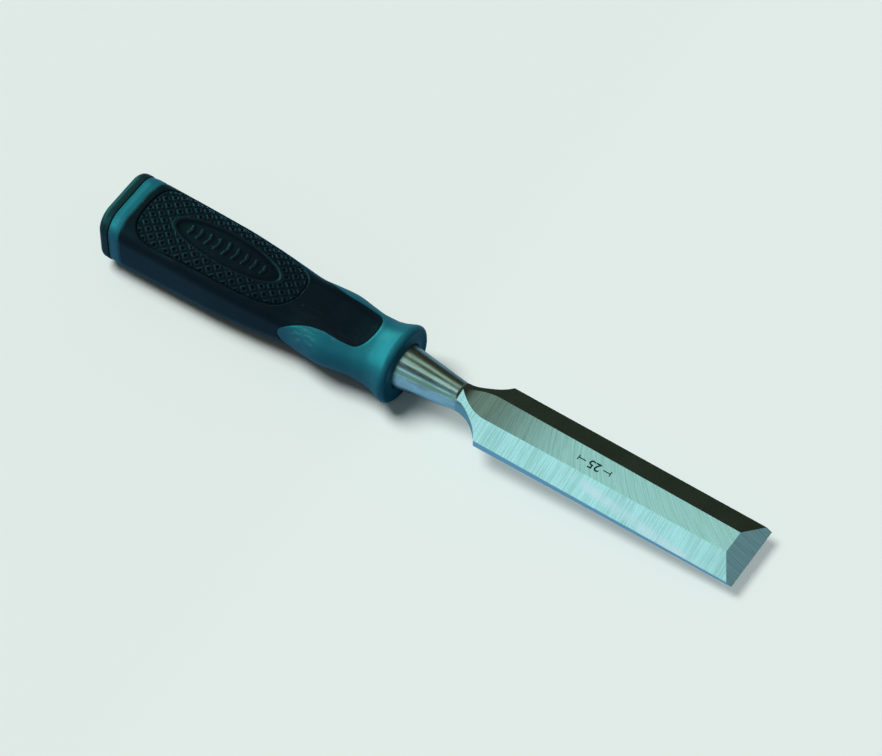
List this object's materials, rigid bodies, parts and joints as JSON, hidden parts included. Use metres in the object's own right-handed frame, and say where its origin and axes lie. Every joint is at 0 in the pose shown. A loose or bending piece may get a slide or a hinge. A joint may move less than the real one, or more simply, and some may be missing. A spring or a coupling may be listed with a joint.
{
  "type": "bench chisel",
  "caption": "Bevel-edge bench chisel: ground steel blade on a round tapered neck, hard moulded handle with a soft overmoulded grip and a strike cap.",
  "frame": {"origin": "middle of the tool's length and width, level with the lowest point of the handle's collar", "axes": "+X along the tool towards the cutting edge, +Z the bevelled side of the blade, so the flat back faces -Z"},
  "size_m": [0.247, 0.0282, 0.0278],
  "materials": {
    "blade_steel": "satin",
    "core_plastic": "satin",
    "grip_rubber": "matte",
    "cap_plastic": "satin"
  },
  "bodies": {
    "root": {"blade": "blade_steel", "handle_core": "core_plastic", "soft_grip": "grip_rubber", "strike_cap": "cap_plastic"}
  },
  "joints": []
}
